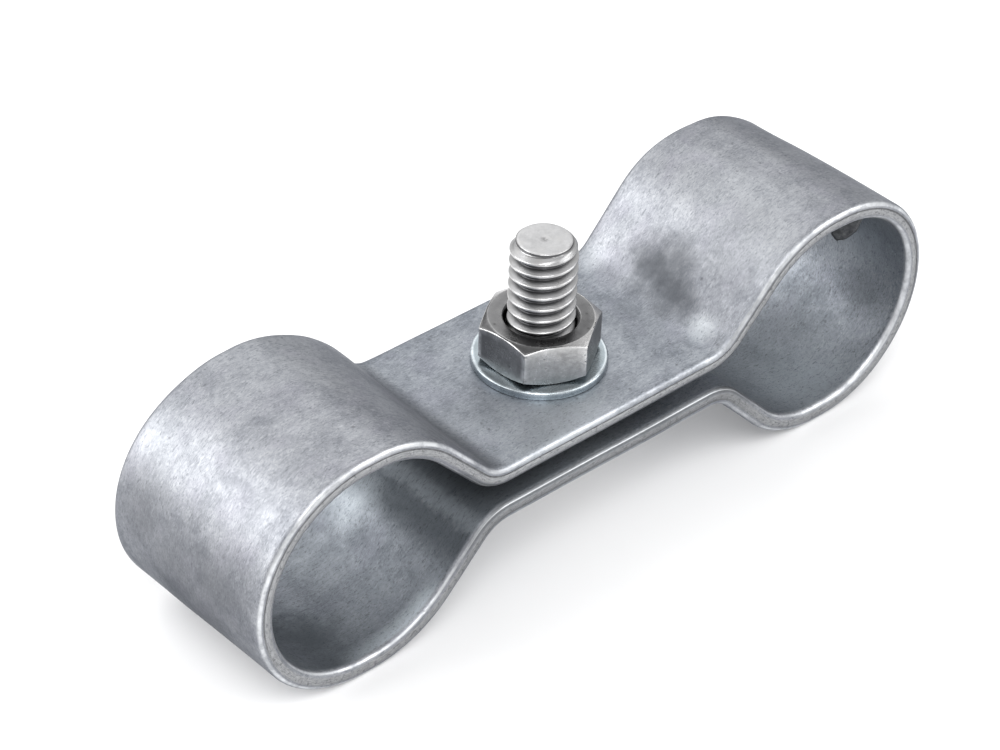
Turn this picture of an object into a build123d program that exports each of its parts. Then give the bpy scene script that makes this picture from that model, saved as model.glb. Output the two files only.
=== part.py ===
from build123d import *
import os
from math import cos, radians, sin, tan

# Pipe loops
pipe_diameter = 32.0
band_wall = 3.0
band_width = 32.0
half_pipe_spacing = 46.0
loop_top_flat = 2.0

# Flanks and bends that lead from the loops into the two webs
flank_angle = 46.0
bend_radius = 6.0
web_gap = 3.5
edge_chamfer = 0.5

# Bolt
bolt_diameter = 10.0
bolt_length = 30.6
bolt_end_chamfer = 0.9
cup_head_diameter = 24.6
cup_head_height = 5.3
cup_head_rim = 1.0
neck_width = 10.4
neck_length = 5.0
neck_corner_rounding = 0.8

# Clearances round the bolt, each on the radius or on one side
web_hole_clearance = 0.5
neck_hole_clearance = 0.2
washer_hole_clearance = 0.25
thread_clearance = 0.05

# Washer and nut
washer_diameter = 20.0
washer_thickness = 1.2
washer_rim_chamfer = 0.2
nut_across_flats = 16.0
nut_height = 6.6
nut_face_diameter = 15.5
nut_chamfer_angle = 30.0
nut_countersink_diameter = 11.4
nut_turn = 33.0

# Heights: the band lies on its two loops
loop_radius = pipe_diameter / 2 + band_wall
mid_height = loop_radius
web_face = web_gap / 2 + band_wall
lower_web_bottom = mid_height - web_face
upper_web_bottom = mid_height + web_gap / 2
upper_web_top = mid_height + web_face
washer_top = upper_web_top + washer_thickness
nut_mid_height = washer_top + nut_height / 2
bolt_radius = bolt_diameter / 2
nut_bore_radius = bolt_radius + thread_clearance
bolt_top = lower_web_bottom + bolt_length

# A flank runs straight from the end of the loop's shoulder arc to the start of its bend
shoulder_end_height = loop_radius * cos(radians(flank_angle))
bend_start_height = web_face + bend_radius * (1 - cos(radians(flank_angle)))
flank_length = (shoulder_end_height - bend_start_height) / sin(radians(flank_angle))

# The band's outline is drawn on an upright plane through the bolt, at the height of the pipes
pipe_plane = Plane(origin=(0, 0, mid_height), x_dir=(1, 0, 0), z_dir=(0, -1, 0))

# Clamp band: a closed strip, its outer outline drawn as one quarter and mirrored twice
with BuildPart() as clamp_band:
    with BuildSketch(pipe_plane):
        with BuildLine():
            outer_end = (-half_pipe_spacing - loop_radius, 0)
            end_arc = JernArc(start=outer_end, tangent=(0, 1), radius=loop_radius, arc_size=-90)
            top_flat = Line(end_arc @ 1, end_arc @ 1 + Vector(loop_top_flat, 0))
            shoulder = JernArc(
                start=top_flat @ 1, tangent=top_flat % 1, radius=loop_radius, arc_size=-flank_angle
            )
            flank = PolarLine(start=shoulder @ 1, length=flank_length, direction=shoulder % 1)
            bend = JernArc(start=flank @ 1, tangent=flank % 1, radius=bend_radius, arc_size=flank_angle)
            Line(bend @ 1, (0, web_face))
            mirror(about=Plane.YZ)
            mirror(about=Plane.XZ)
        make_face()
        offset(amount=-band_wall, mode=Mode.SUBTRACT)
    extrude(amount=band_width / 2, both=True)

    # The sharp edges along the strip's two long sides are broken, outside and inside
    chamfer(clamp_band.faces().filter_by(Axis.Y).edges(), length=edge_chamfer)

    # Round hole through the upper web, square hole through the lower web
    with BuildSketch(Plane.XY.offset(upper_web_bottom)):
        Circle(bolt_radius + web_hole_clearance)
    extrude(amount=band_wall, mode=Mode.SUBTRACT)
    with BuildSketch(Plane.XY.offset(lower_web_bottom)):
        Rectangle(neck_width + 2 * neck_hole_clearance, neck_width + 2 * neck_hole_clearance)
    extrude(amount=band_wall, mode=Mode.SUBTRACT)

# Bolt: low cup head under the lower web, square neck, round shank with a chamfered end
with BuildPart() as cup_head_bolt:
    with BuildSketch(Plane.XZ):
        with BuildLine():
            head_bottom = (0, lower_web_bottom - cup_head_height)
            rim_bottom = (cup_head_diameter / 2, lower_web_bottom - cup_head_rim)
            dome = TangentArc(head_bottom, rim_bottom, tangent=(1, 0))
            Polyline(
                dome @ 1,
                (cup_head_diameter / 2, lower_web_bottom),
                (bolt_radius, lower_web_bottom),
                (bolt_radius, bolt_top - bolt_end_chamfer),
                (bolt_radius - bolt_end_chamfer, bolt_top),
                (0, bolt_top),
                head_bottom,
            )
        make_face()
    revolve(axis=Axis.Z)
    with BuildSketch(Plane.XY.offset(lower_web_bottom)):
        RectangleRounded(neck_width, neck_width, neck_corner_rounding)
    extrude(amount=neck_length)

# Flat washer on the upper web, its rim slightly chamfered
with BuildPart() as flat_washer:
    with BuildSketch(Plane.XY.offset(upper_web_top)):
        Circle(washer_diameter / 2)
        Circle(bolt_radius + washer_hole_clearance, mode=Mode.SUBTRACT)
    extrude(amount=washer_thickness)
    rim_edges = flat_washer.edges().filter_by(GeomType.CIRCLE).group_by(SortBy.RADIUS)[-1]
    chamfer(rim_edges, length=washer_rim_chamfer)

# Hex nut on the washer, its corners turned off at both faces and its bore countersunk
with BuildPart() as hex_nut:
    with BuildSketch(Plane.XY.offset(washer_top)):
        RegularPolygon(
            radius=nut_across_flats / 2, side_count=6, major_radius=False, rotation=nut_turn
        )
        Circle(nut_bore_radius, mode=Mode.SUBTRACT)
    extrude(amount=nut_height)
    with BuildSketch(Plane(origin=(0, 0, nut_mid_height), x_dir=(1, 0, 0), z_dir=(0, -1, 0))):
        with BuildLine():
            face_edge = Vector(nut_face_diameter / 2, nut_height / 2)
            face_outside = Vector(nut_across_flats, nut_height / 2)
            turned_depth = (face_outside.X - face_edge.X) * tan(radians(nut_chamfer_angle))
            Polyline(face_edge, face_outside, face_outside - Vector(0, turned_depth), close=True)
        make_face()
        mirror(about=Plane.XZ)
    revolve(axis=Axis.Z, mode=Mode.SUBTRACT)
    bore_edges = hex_nut.edges().filter_by(GeomType.CIRCLE).group_by(SortBy.RADIUS)[0]
    chamfer(bore_edges, length=nut_countersink_diameter / 2 - nut_bore_radius)

# Files, one for each separate piece
clamp_band.part.label = "clamp_band"
cup_head_bolt.part.label = "cup_head_bolt"
flat_washer.part.label = "flat_washer"
hex_nut.part.label = "hex_nut"

os.makedirs("parts", exist_ok=True)
export_step(clamp_band.part, "parts/clamp_band.step")
export_step(cup_head_bolt.part, "parts/cup_head_bolt.step")
export_step(flat_washer.part, "parts/flat_washer.step")
export_step(hex_nut.part, "parts/hex_nut.step")
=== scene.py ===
from functools import reduce
from math import ceil, cos, degrees, exp, hypot, pi, radians, sin, sqrt, tan

import bmesh
import bpy
from mathutils import Matrix, Vector, noise


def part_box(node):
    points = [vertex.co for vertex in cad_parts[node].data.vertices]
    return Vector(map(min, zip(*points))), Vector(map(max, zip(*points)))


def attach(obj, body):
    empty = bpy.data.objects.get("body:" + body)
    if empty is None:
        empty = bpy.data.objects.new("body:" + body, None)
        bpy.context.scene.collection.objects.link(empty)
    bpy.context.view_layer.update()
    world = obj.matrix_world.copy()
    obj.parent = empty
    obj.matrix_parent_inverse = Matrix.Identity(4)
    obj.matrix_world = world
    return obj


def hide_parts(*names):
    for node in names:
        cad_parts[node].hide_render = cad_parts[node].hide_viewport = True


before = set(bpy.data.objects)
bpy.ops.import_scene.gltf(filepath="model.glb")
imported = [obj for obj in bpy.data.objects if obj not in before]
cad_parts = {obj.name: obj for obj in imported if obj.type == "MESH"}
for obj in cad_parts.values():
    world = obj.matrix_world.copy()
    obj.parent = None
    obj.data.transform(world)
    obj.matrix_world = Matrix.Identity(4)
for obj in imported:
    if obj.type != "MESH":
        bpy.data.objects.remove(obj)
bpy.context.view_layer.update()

bl_info = {
    "name": "Temporary Fence Clamp",
    "version": (1, 0, 0),
    "blender": (4, 5, 0),
    "location": "View3D > Sidebar > Fence Clamp",
    "description": "Builds a galvanised fence clamp with its bolt, washer and nut, and a studio to show it in",
    "category": "Add Mesh",
}

MM = 0.001
BODY = "root"

BAND_LOW, BAND_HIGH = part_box("clamp_band")
BOLT_LOW, BOLT_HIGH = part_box("cup_head_bolt")
WASHER_LOW, WASHER_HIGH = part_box("flat_washer")
NUT_LOW, NUT_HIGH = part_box("hex_nut")


# ---------------------------------------------------------------- settings


def length_setting(name, description, default):
    return bpy.props.FloatProperty(name=name, description=description, default=default, unit="LENGTH")


def angle_setting(name, description, default):
    angle = radians(default)
    return bpy.props.FloatProperty(name=name, description=description, default=angle, subtype="ANGLE")


def color_setting(name, description, default):
    return bpy.props.FloatVectorProperty(name=name, description=description, default=default, subtype="COLOR")


class BandSettings(bpy.types.PropertyGroup):
    pipe_radius: length_setting("Pipe radius", "Inner radius of both loops", 0.016)
    wall: length_setting("Wall", "Thickness of the strip", 0.003)
    loop_offset: length_setting("Loop offset", "Distance from the bolt to each loop's axis", 0.046)
    loop_flat: length_setting("Loop flat", "Length of the flat on top of each loop", 0.002)
    flank_angle: angle_setting("Flank angle", "Slope of the flanks", 46)
    bend_radius: length_setting("Bend radius", "Outer radius of the bends beside the webs", 0.006)
    web_gap: length_setting("Web gap", "Free height between the two webs", 0.0035)
    color: color_setting("Zinc", "Main colour of the zinc coat", (0.39, 0.40, 0.425))
    dark_color: color_setting("Dark zinc", "Colour of the darker clouds", (0.235, 0.245, 0.27))


class BoltSettings(bpy.types.PropertyGroup):
    radius: length_setting("Radius", "Radius over the thread's crests", 0.005)
    pitch: length_setting("Pitch", "Height of one turn of the thread", 0.00198)
    depth: length_setting("Depth", "Depth of the thread's valleys", 0.0011)
    color: color_setting("Steel", "Colour of the bolt", (0.50, 0.50, 0.505))


class WasherSettings(bpy.types.PropertyGroup):
    hole_radius: length_setting("Hole radius", "Radius of the washer's hole", 0.00525)
    color: color_setting("Zinc", "Colour of the washer's plating", (0.33, 0.375, 0.40))


class NutSettings(bpy.types.PropertyGroup):
    across_flats: length_setting("Across flats", "Width between opposite flats", 0.016)
    turn: angle_setting("Turn", "Turn of the nut about the bolt", 33)
    color: color_setting("Steel", "Colour of the nut", (0.64, 0.64, 0.645))


class StageSettings(bpy.types.PropertyGroup):
    floor_color: color_setting("Floor", "Colour of the studio floor", (0.80, 0.80, 0.803))
    fill: bpy.props.FloatProperty(
        name="Fill light", description="Strength of the light from all round", default=0.85
    )


class ClampSettings(bpy.types.PropertyGroup):
    band: bpy.props.PointerProperty(type=BandSettings)
    bolt: bpy.props.PointerProperty(type=BoltSettings)
    washer: bpy.props.PointerProperty(type=WasherSettings)
    nut: bpy.props.PointerProperty(type=NutSettings)
    stage: bpy.props.PointerProperty(type=StageSettings)


# ---------------------------------------------------------------- shader helpers

# Sockets of a Mix node that is set to colours
MIX_FACTOR, MIX_BASE, MIX_LAYER, MIX_RESULT = 0, 6, 7, 2


class Wiring:
    """Short ways to add nodes to a tree. A term is a number, a colour, a vector or an output socket."""

    def __init__(self, tree):
        self.tree = tree

    def fill(self, socket, term):
        """Gives an input its term."""
        if isinstance(term, bpy.types.NodeSocket):
            self.tree.links.new(term, socket)
        elif socket.type == "RGBA":
            socket.default_value = (*term, 1.0)
        else:
            socket.default_value = term

    def put(self, kind, *terms, **values):
        """A new node: terms for its inputs in order, values for its properties and inputs by name."""
        node = self.tree.nodes.new(f"ShaderNode{kind}")
        for key, value in values.items():
            if hasattr(node, key):
                setattr(node, key, value)
            else:
                self.fill(node.inputs[key.replace("_", " ")], value)
        for socket, term in zip(node.inputs, terms):
            self.fill(socket, term)
        return node

    def place(self, group, **terms):
        """The outputs of a copy of a node group with this material's own values."""
        return self.put("Group", node_tree=group, **terms).outputs

    def mark(self, name):
        """A value that the mesh carries at each point."""
        return self.put("Attribute", attribute_name=name).outputs["Fac"]

    def calc(self, operation, *terms, clamp=False):
        return self.put("Math", *terms, operation=operation, use_clamp=clamp).outputs[0]

    def times(self, *terms):
        return reduce(lambda a, b: self.calc("MULTIPLY", a, b), terms)

    def plus(self, *terms):
        return reduce(lambda a, b: self.calc("ADD", a, b), terms)

    def most(self, *terms):
        return reduce(lambda a, b: self.calc("MAXIMUM", a, b), terms)

    def remap(self, value, low, high, to_low=0.0, to_high=1.0, smooth=False):
        """The value carried from one range to another, and held at both ends."""
        kind = "SMOOTHSTEP" if smooth else "LINEAR"
        node = self.put("MapRange", value, low, high, to_low, to_high, interpolation_type=kind)
        return node.outputs["Result"]

    def zone(self, value, low, full, end, gone):
        """1 from full to end, fading to 0 at low and gone."""
        rise = self.remap(value, low, full, smooth=True)
        return self.times(rise, self.remap(value, end, gone, 1.0, 0.0, smooth=True))

    def over(self, color, factor, other, mode="MIX"):
        """The colour other laid over color by factor."""
        node = self.put("Mix", data_type="RGBA", blend_type=mode)
        for index, term in ((MIX_FACTOR, factor), (MIX_BASE, color), (MIX_LAYER, other)):
            self.fill(node.inputs[index], term)
        return node.outputs[MIX_RESULT]

    def layers(self, color, *layers):
        """The colour with each layer, a factor and a colour, laid over it in turn."""
        for factor, other in layers:
            color = self.over(color, factor, other)
        return color

    def noise(self, vector, scale, detail=2.0, roughness=0.5, distortion=0.0):
        shape = {"Detail": detail, "Roughness": roughness, "Distortion": distortion}
        return self.put("TexNoise", Vector=vector, Scale=scale, **shape).outputs["Fac"]


# The kind of socket for a default with this many numbers
SOCKET_KINDS = {1: "NodeSocketFloat", 3: "NodeSocketVector", 4: "NodeSocketColor"}
ORIGIN = (0, 0, 0)


def shared_group(name, inputs, outputs):
    """Turns a function that wires a node group into one that builds the group once and returns it.
    inputs gives the default of each input, and an output called Color is a colour."""

    def wrap(wire):
        def group():
            if name in bpy.data.node_groups:
                return bpy.data.node_groups[name]
            tree = bpy.data.node_groups.new(name, "ShaderNodeTree")
            for label, default in inputs.items():
                kind = SOCKET_KINDS[len(default) if isinstance(default, tuple) else 1]
                tree.interface.new_socket(label, in_out="INPUT", socket_type=kind).default_value = default
            for label in outputs:
                kind = SOCKET_KINDS[4 if label == "Color" else 1]
                tree.interface.new_socket(label, in_out="OUTPUT", socket_type=kind)
            source = tree.nodes.new("NodeGroupInput").outputs
            results = wire(Wiring(tree), *(source[label] for label in inputs))
            target = tree.nodes.new("NodeGroupOutput").inputs
            for label, result in zip(outputs, results):
                tree.links.new(result, target[label])
            return tree

        return group

    return wrap


@shared_group(
    "Zinc Clouding",
    {
        "Vector": ORIGIN,
        "Light Color": (0.5, 0.5, 0.5, 1),
        "Dark Color": (0.4, 0.4, 0.4, 1),
        "Tint Color": (0.45, 0.44, 0.5, 1),
        "Cloud Scale": 120.0,
        "Contrast": 1.0,
    },
    ("Color", "Value"),
)
def zinc_clouding(w, vector, light, dark, tint, scale, contrast):
    """Soft mottled clouds as zinc shows after dipping, in three sizes."""

    def cloud(factor, detail, roughness, distortion, low, high):
        value = w.noise(vector, w.times(scale, factor), detail, roughness, distortion)
        return w.remap(value, low, high)

    large = cloud(1.0, 3.0, 0.55, 0.6, 0.34, 0.66)
    middle = cloud(4.3, 3.0, 0.6, 0.3, 0.3, 0.7)
    small = cloud(17.0, 3.0, 0.65, 0.2, 0.3, 0.7)
    value = w.plus(w.times(large, 0.40), w.times(middle, 0.34), w.times(small, 0.26))
    centred = w.calc("SUBTRACT", value, 0.5)
    value = w.calc("ADD", w.times(centred, contrast), 0.5, clamp=True)
    tinted = w.times(cloud(1.7, 2.0, 0.5, 0.4, 0.5, 0.68), 0.5)
    return w.layers(dark, (value, light), (tinted, tint)), value


@shared_group("Brushed Grain", {"Vector": ORIGIN, "Fineness": 5000.0, "Stretch": 5.0}, ("Value",))
def brushed_grain(w, vector, fineness, stretch):
    """Short brushed marks, longer along the first coordinate."""
    shape = w.put("CombineXYZ", w.calc("DIVIDE", 1.0, stretch), 1.0, 1.0).outputs[0]
    bent = w.put("VectorMath", vector, shape, operation="MULTIPLY").outputs[0]
    fine = w.noise(bent, fineness, 2.0, 0.6)
    coarse = w.noise(bent, w.times(fineness, 0.31), 1.0, 0.5)
    total = w.plus(w.times(fine, 0.6), w.times(coarse, 0.4))
    return (w.remap(total, 0.3, 0.7),)


@shared_group(
    "Zinc Strokes", {"Vector": ORIGIN, "Fineness": 900.0, "Curl": 0.5}, ("Bright", "Dark", "Height")
)
def zinc_strokes(w, vector, fineness, curl):
    """Short soft strokes along the first coordinate, as brushing leaves them: dark and bright ones."""
    shape = w.put("VectorMath", vector, (0.32, 1.0, 1.0), operation="MULTIPLY").outputs[0]
    field = w.noise(shape, fineness, 2.5, 0.6, curl)
    return w.remap(field, 0.54, 0.70), w.remap(field, 0.46, 0.30), field


@shared_group(
    "Soft Patch", {"Vector": ORIGIN, "Middle": ORIGIN, "Radius": 0.006, "Break Up": 300.0}, ("Value",)
)
def soft_patch(w, vector, middle, radius, break_up):
    """One soft patch about a place, its edge broken up: 1 in the middle and 0 outside."""
    away = w.put("VectorMath", vector, middle, operation="DISTANCE").outputs["Value"]
    ragged = w.remap(w.noise(vector, break_up, 3.0, 0.6), 0.3, 0.7, -0.14, 0.14)
    reach = w.plus(w.calc("DIVIDE", away, radius), ragged)
    return (w.remap(reach, 0.05, 1.10, 1.0, 0.0, smooth=True),)


@shared_group(
    "Small Pits", {"Vector": ORIGIN, "Density": 900.0, "Radius": 0.16, "Share": 0.25}, ("Value",)
)
def small_pits(w, vector, density, radius, share):
    """Scattered small pits: 1 in a pit and 0 between them."""
    wobble = w.remap(w.noise(vector, w.times(density, 2.5)), 0.3, 0.7, 0.5, 1.5)
    cells = w.put("TexVoronoi", Vector=vector, Scale=density).outputs
    away = w.calc("DIVIDE", cells["Distance"], w.times(radius, wobble))
    inside = w.calc("SUBTRACT", 1.0, away, clamp=True)
    draw = w.put("SeparateColor", cells["Color"]).outputs[0]
    return (w.times(inside, w.calc("LESS_THAN", draw, share)),)


@shared_group(
    "Edge Wear", {"Vector": ORIGIN, "Edge": 0.0, "Amount": 0.6, "Break Up": 900.0}, ("Value",)
)
def edge_wear(w, vector, edge, amount, break_up):
    """Bright rubbed edges, broken up by noise. Edge is 1 on an edge and 0 away from it."""
    broken = w.remap(w.noise(vector, break_up, 3.0, 0.6), 0.35, 0.6, 0.35, 1.0)
    return (w.times(edge, broken, amount),)


def start_metal(name):
    """A new material, the wiring of its nodes, and the position in the part's own frame."""
    material = bpy.data.materials.new(name)
    material.use_nodes = True
    wiring = Wiring(material.node_tree)
    return material, wiring, wiring.put("TexCoord").outputs["Object"]


def finish_metal(material, color, rough, relief):
    """Joins a metal's colour, roughness and relief in mm to its Principled BSDF."""
    wiring = Wiring(material.node_tree)
    bump = wiring.put("Bump", Height=relief, Strength=1.0, Distance=MM).outputs["Normal"]
    shader = material.node_tree.nodes["Principled BSDF"]
    for label, term in (("Base Color", color), ("Metallic", 1.0), ("Roughness", rough), ("Normal", bump)):
        wiring.fill(shader.inputs[label], term)
    return shader


def clouds_of(w, where, light, dark, tint, scale, contrast):
    """One material's clouds, as a Color and a Value."""
    colors = {"Light_Color": light, "Dark_Color": dark, "Tint_Color": tint}
    return w.place(zinc_clouding(), Vector=where, **colors, Cloud_Scale=scale, Contrast=contrast)


def wear_of(w, where, break_up):
    """The wear along one small part's edges."""
    marks = w.mark("edge")
    return w.place(edge_wear(), Vector=where, Edge=marks, Amount=0.7, Break_Up=break_up)["Value"]


# ---------------------------------------------------------------- the band's zinc

ZINC_TINT = (0.335, 0.335, 0.375)
ZINC_GRAIN = (0.15, 0.16, 0.18)
ZINC_PIT = (0.10, 0.10, 0.11)
ZINC_WORN = (0.86, 0.88, 0.90)
ZINC_EDGE_TINT = (0.42, 0.43, 0.45)
COOL_TINT = (0.965, 1.0, 1.02)
STROKE_BRIGHT, STROKE_DARK, STROKE_INNER = (0.66, 0.68, 0.71), (0.12, 0.13, 0.145), (0.05, 0.055, 0.06)
# painted shade and painted highlight colours, outside and inside
PAINTED_SHADE, INNER_PAINTED_SHADE = (0.08, 0.085, 0.095), (0.13, 0.14, 0.152)
PAINTED_HIGHLIGHT, INNER_PAINTED_HIGHLIGHT = (0.72, 0.75, 0.77), (0.72, 0.75, 0.78)
CUT_DARK, CUT_LIGHT, CUT_SPECK = (0.23, 0.235, 0.24), (0.50, 0.505, 0.515), (0.12, 0.12, 0.125)
# painted shade in the crease, on the webs' inner corners by the gap and on the lower web's rim
CREASE_PAINTED_SHADE, GAP_CORNER_SHADE, LOW_RIM_PAINTED_SHADE = (0.08, 0.083, 0.088), (0.13, 0.135, 0.14), (0.15, 0.155, 0.16)

# Spots of painted shade, which are also rougher, and spots of painted highlight: middle and radius in m, and
# strength
PAINTED_SHADE_SPOTS = (
    ((0.0249, 0.0017, 0.0274), 0.0076, 0.88),
    ((0.0243, -0.0003, 0.0269), 0.0062, 0.90),
    ((0.0238, -0.0028, 0.0262), 0.0060, 0.86),
    ((0.0237, -0.0060, 0.0260), 0.0045, 0.70),
    ((0.0260, -0.0008, 0.0289), 0.0064, 0.78),
    ((0.0238, 0.0048, 0.0263), 0.0068, 0.36),
    ((0.0200, -0.0008, 0.0238), 0.0085, 0.24),
    ((0.0290, -0.0085, 0.0310), 0.0125, 0.30),
    ((-0.0643, 0.0095, 0.0230), 0.0084, 0.44),
    ((-0.0646, 0.0010, 0.0185), 0.0125, 0.42),
    ((-0.0625, -0.0010, 0.0090), 0.0170, 0.60),
    ((-0.0650, -0.0068, 0.0200), 0.0110, 0.50),
    ((-0.0170, -0.0035, 0.0238), 0.0100, 0.22),
    ((-0.0300, 0.0030, 0.0280), 0.0120, 0.12),
)
PAINTED_HIGHLIGHT_SPOTS = (
    ((0.0221, 0.0126, 0.0243), 0.0034, 0.30),
    ((0.0225, -0.0108, 0.0243), 0.0034, 0.46),
    ((0.0460, -0.0060, 0.0030), 0.0170, 0.32),
    ((-0.0070, -0.0125, 0.0238), 0.0130, 0.32),
    ((0.0370, -0.0020, 0.0360), 0.0120, 0.12),
    ((-0.0405, 0.0115, 0.0376), 0.0130, 0.11),
    ((-0.0586, 0.0110, 0.0328), 0.0100, 0.09),
    ((0.0340, -0.0101, 0.0350), 0.0080, 0.15),
)
# Spots of painted shade and painted highlight on the inner side of the strip
INNER_PAINTED_SHADE_SPOTS = (
    ((-0.0500, -0.0080, 0.0036), 0.0110, 0.95),
    ((-0.0500, -0.0150, 0.0040), 0.0110, 0.88),
    ((0.0606, -0.0090, 0.0131), 0.0058, 0.50),
    ((0.0520, 0.0010, 0.0045), 0.0130, 0.42),
)
INNER_PAINTED_HIGHLIGHT_SPOTS = (
    ((-0.0304, 0.0055, 0.0100), 0.0066, 0.40),
    ((-0.0390, -0.0075, 0.0036), 0.0085, 0.06),
    ((0.0458, -0.0107, 0.0030), 0.0110, 0.32),
    ((0.0590, -0.0100, 0.0290), 0.0110, 0.18),
    ((0.0618, -0.0050, 0.0200), 0.0090, 0.20),
    ((-0.0395, 0.0050, 0.0038), 0.0080, 0.10),
)

# Zones of the strip's edge by depth under the outer face, as a share of the wall: low, full, end and gone
OUTER_ZONE = (0.03, 0.11, 0.17, 0.27)
CUT_ZONE = (0.28, 0.36, 0.66, 0.76)
CREASE_ZONE = (0.30, 0.345, 0.385, 0.43)
SKIN_ZONE = (0.66, 0.80, 0.95, 0.99)
INNER_WIDE_ZONE = (0.74, 0.84, 0.93, 0.995)
INNER_THIN_ZONE = (0.82, 0.87, 0.90, 0.95)
LINE_ZONE = (0.84, 0.865, 0.875, 0.90)
# The painted highlight along the start of the left lower bend, inside, by the distance from the bolt in m
BEND_HIGHLIGHT_ZONE = (-0.0270, -0.0256, -0.0252, -0.0230)


def spot_mask(w, where, spots, break_up=260.0):
    """The strongest of a table's soft patches at each place."""
    mask = 0.0
    for middle, radius, strength in spots:
        patch = w.place(soft_patch(), Vector=where, Middle=middle, Radius=radius, Break_Up=break_up)
        mask = w.most(mask, w.times(patch["Value"], strength))
    return mask


def rim_masks(w, where, side, up, across):
    """Masks of the cut face, the painted shade in its crease, the painted shade on the webs' inner corners by
    the gap, the painted shade on the lower web's rim and the worn corners.
    """
    cut = w.zone(across, *CUT_ZONE)
    # painted shade in the crease, only on the upper parts
    crease = w.times(w.zone(across, *CREASE_ZONE), w.remap(up, 0.008, 0.021, smooth=True))
    on_loop = w.remap(w.calc("ABSOLUTE", side), 0.023, 0.034, smooth=True)
    corner = w.most(
        w.times(w.zone(across, *OUTER_ZONE), w.remap(on_loop, 0, 1, 0.55, 1.0)),
        w.times(w.zone(across, *INNER_WIDE_ZONE), w.remap(side, 0.036, 0.050, 0.0, 0.72)),
        w.times(w.zone(across, *INNER_THIN_ZONE), w.remap(on_loop, 0, 1, 0.10, 0.75)),
    )
    worn = w.place(edge_wear(), Vector=where, Edge=corner, Amount=0.80, Break_Up=420.0)["Value"]
    # between the loops the strip's inner corner gets painted shade where it faces the gap between the webs,
    # with a thin bright line
    off_loop = w.calc("SUBTRACT", 1.0, on_loop)
    skin = w.times(w.zone(across, *SKIN_ZONE), off_loop, 0.80)
    worn = w.most(worn, w.times(w.zone(across, *LINE_ZONE), off_loop, 0.42))
    # painted shade on the lower web's cut face, under the upper web
    low_rim_shade = w.times(cut, off_loop, w.remap(up, 0.018, 0.020, 0.42, 0.0))
    return cut, crease, skin, low_rim_shade, worn


def inner_masks(w, where, side, depth, up):
    """Where the strip's inner side gets painted shade and where it gets painted highlights."""
    # painted shade inside: most from the left loop's right side across the webs, some in the right loop's left
    # side
    narrow = w.times(
        w.remap(side, -0.0315, -0.0280, 0.34, 0.88, smooth=True), w.remap(side, -0.015, 0.02, 1.0, 0.0)
    )
    beside = w.times(w.remap(side, 0.012, 0.025, 0.0, 0.50), w.remap(side, 0.046, 0.058, 1.0, 0.0))
    # painted shade inside, from the two ramps and the spots
    dull = w.most(narrow, beside, spot_mask(w, where, INNER_PAINTED_SHADE_SPOTS))
    ripple = w.remap(w.noise(where, 900.0, 3.0), 0.3, 0.7, -0.0004, 0.0004)
    # painted highlight along the start of the left lower bend
    line = w.zone(w.plus(side, ripple), *BEND_HIGHLIGHT_ZONE)
    bend_highlight = w.times(line, w.remap(up, 0.0165, 0.0175, 1.0, 0.0), 0.20)
    # painted highlight on the left loop's inner floor near its front rim
    near_rim = w.times(
        w.remap(depth, -0.0122, -0.0150),
        w.remap(side, -0.050, -0.042),
        w.remap(side, -0.0350, -0.0300, 1.0, 0.0, smooth=True),
        w.remap(up, 0.014, 0.017, 0.85, 0.0),
    )
    return dull, w.most(bend_highlight, near_rim, spot_mask(w, where, INNER_PAINTED_HIGHLIGHT_SPOTS))


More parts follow.
